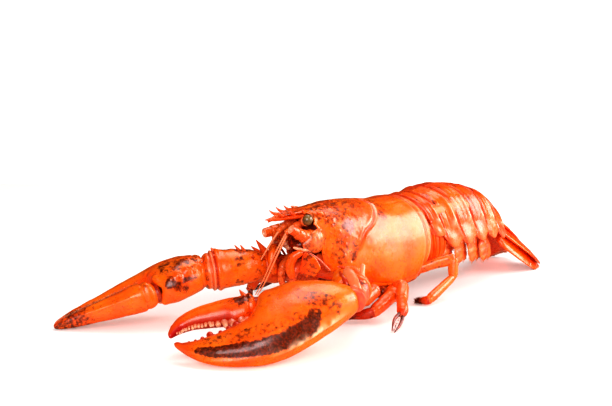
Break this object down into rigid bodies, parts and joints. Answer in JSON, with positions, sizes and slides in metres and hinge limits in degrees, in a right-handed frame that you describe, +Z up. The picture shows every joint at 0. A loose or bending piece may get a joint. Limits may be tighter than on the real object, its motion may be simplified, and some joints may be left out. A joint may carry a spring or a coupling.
{
  "type": "cooked lobster",
  "caption": "Whole boiled lobster lying on its legs, big unequal claws stretched forward, smooth back shell, ringed tail arched down to a folded fan, cut feelers",
  "frame": {"origin": "the middle of the bounding box in plan, on the floor", "axes": "-Y is towards the head and claws, +Y towards the tail fan, +X is the animal's left side with the heavier claw, +Z is up"},
  "size_m": [0.1546, 0.3452, 0.0678],
  "materials": {
    "body_shell": "glossy orange-red cooked shell",
    "claw_shell": "glossy orange shell with dark mottling",
    "leg_shell": "satin orange-red shell",
    "feeler_shell": "satin orange-red shell",
    "soft_underside": "matt yellow-orange skin",
    "eye": "glossy dark grey-brown"
  },
  "bodies": {
    "root": {"antenna_left": "feeler_shell", "antenna_right": "feeler_shell", "antenna_scale_left": "feeler_shell", "antenna_scale_right": "feeler_shell", "antennule_left": "feeler_shell", "antennule_right": "feeler_shell", "carapace": "body_shell", "crusher_arm": "claw_shell", "crusher_base": "claw_shell", "crusher_finger": "claw_shell", "crusher_palm": "claw_shell", "crusher_wrist": "claw_shell", "cutter_arm": "claw_shell", "cutter_base": "claw_shell", "cutter_finger": "claw_shell", "cutter_palm": "claw_shell", "cutter_wrist": "claw_shell", "eye_left": "eye", "eye_right": "eye", "leg_left_2_lower": "leg_shell", "leg_left_2_upper": "leg_shell", "leg_left_3_lower": "leg_shell", "leg_left_3_upper": "leg_shell", "leg_left_4_lower": "leg_shell", "leg_left_4_upper": "leg_shell", "leg_left_5_lower": "leg_shell", "leg_left_5_upper": "leg_shell", "leg_right_2_lower": "leg_shell", "leg_right_2_upper": "leg_shell", "leg_right_3_lower": "leg_shell", "leg_right_3_upper": "leg_shell", "leg_right_4_lower": "leg_shell", "leg_right_4_upper": "leg_shell", "leg_right_5_lower": "leg_shell", "leg_right_5_upper": "leg_shell", "maxilliped_left": "leg_shell", "maxilliped_right": "leg_shell", "somite_1": "body_shell", "somite_2": "body_shell", "somite_3": "body_shell", "somite_4": "body_shell", "somite_5": "body_shell", "somite_6": "body_shell", "swimmeret_left_2": "soft_underside", "swimmeret_left_3": "soft_underside", "swimmeret_left_4": "soft_underside", "swimmeret_left_5": "soft_underside", "swimmeret_right_2": "soft_underside", "swimmeret_right_3": "soft_underside", "swimmeret_right_4": "soft_underside", "swimmeret_right_5": "soft_underside", "telson": "body_shell", "thorax_underside": "soft_underside", "uropod_left_inner": "body_shell", "uropod_left_outer": "body_shell", "uropod_right_inner": "body_shell", "uropod_right_outer": "body_shell"}
  },
  "joints": []
}
